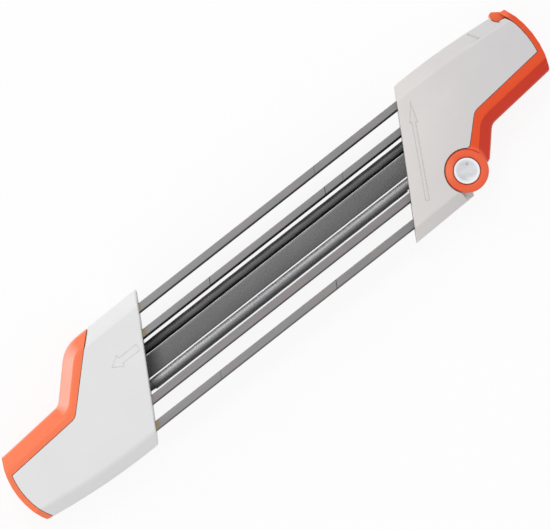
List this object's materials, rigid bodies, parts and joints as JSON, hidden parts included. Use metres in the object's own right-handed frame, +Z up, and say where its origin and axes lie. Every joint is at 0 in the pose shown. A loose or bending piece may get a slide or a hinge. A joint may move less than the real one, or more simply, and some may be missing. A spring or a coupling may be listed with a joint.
{
  "type": "chainsaw file guide",
  "caption": "Hand guide for sharpening saw chain: slanted handles on steel rails hold round files and a flat file, and a latch lever on one handle frees the files.",
  "frame": {"origin": "Midway between the two handles on the plane that the tool lies on: the bottom centre of its bounding box.", "axes": "+X along the rails and files to the handle with the latch lever, +Y across the rails to the side of the lever's hook, +Z up from the undersides of the handles."},
  "size_m": [0.3653, 0.073, 0.03],
  "materials": {
    "pale_casing": "fine moulded texture",
    "pale_cap": "satin",
    "orange_trim": "satin moulded",
    "orange_lever": "satin moulded",
    "dark_plastic": "moulded, inside the handles",
    "rail_steel": "ground faces",
    "file_steel": "dark hardened steel, file cut",
    "screw_steel": "plated"
  },
  "bodies": {
    "frame": {"left_upper_shell": "pale_casing", "left_lower_shell": "pale_casing", "left_grip_trim": "orange_trim", "left_file_seat": "dark_plastic", "rail_plate": "rail_steel", "left_screw_1": "screw_steel", "left_screw_2": "screw_steel", "left_screw_3": "screw_steel", "outer_rail_upper": "rail_steel", "inner_rail_upper": "rail_steel", "inner_rail_lower": "rail_steel", "outer_rail_lower": "rail_steel", "round_file_upper": "file_steel", "round_file_lower": "file_steel", "flat_file": "file_steel"},
    "handle": {"right_upper_shell": "pale_casing", "right_lower_shell": "pale_casing", "right_file_seat": "dark_plastic", "right_screw_1": "screw_steel", "right_screw_2": "screw_steel", "right_screw_3": "screw_steel"},
    "lever": {"latch_lever": "orange_lever", "cam_shaft": "screw_steel", "upper_pivot_cap": "pale_cap", "lower_pivot_cap": "pale_cap"}
  },
  "joints": [
    {"name": "handle_slide", "type": "slide", "parent": "frame", "child": "handle", "axis": [1, 0, 0], "range_m": [0, 0.005]},
    {"name": "lever_hinge", "type": "hinge", "parent": "handle", "child": "lever", "pos_m": [0.1104, -0.02253, 0.015], "axis": [0, 0, 1], "range_deg": [-90, 0]}
  ],
  "couplings": [
    {"joint": "handle_slide", "follows": "lever_hinge", "m_per_rad": -0.0031}
  ]
}
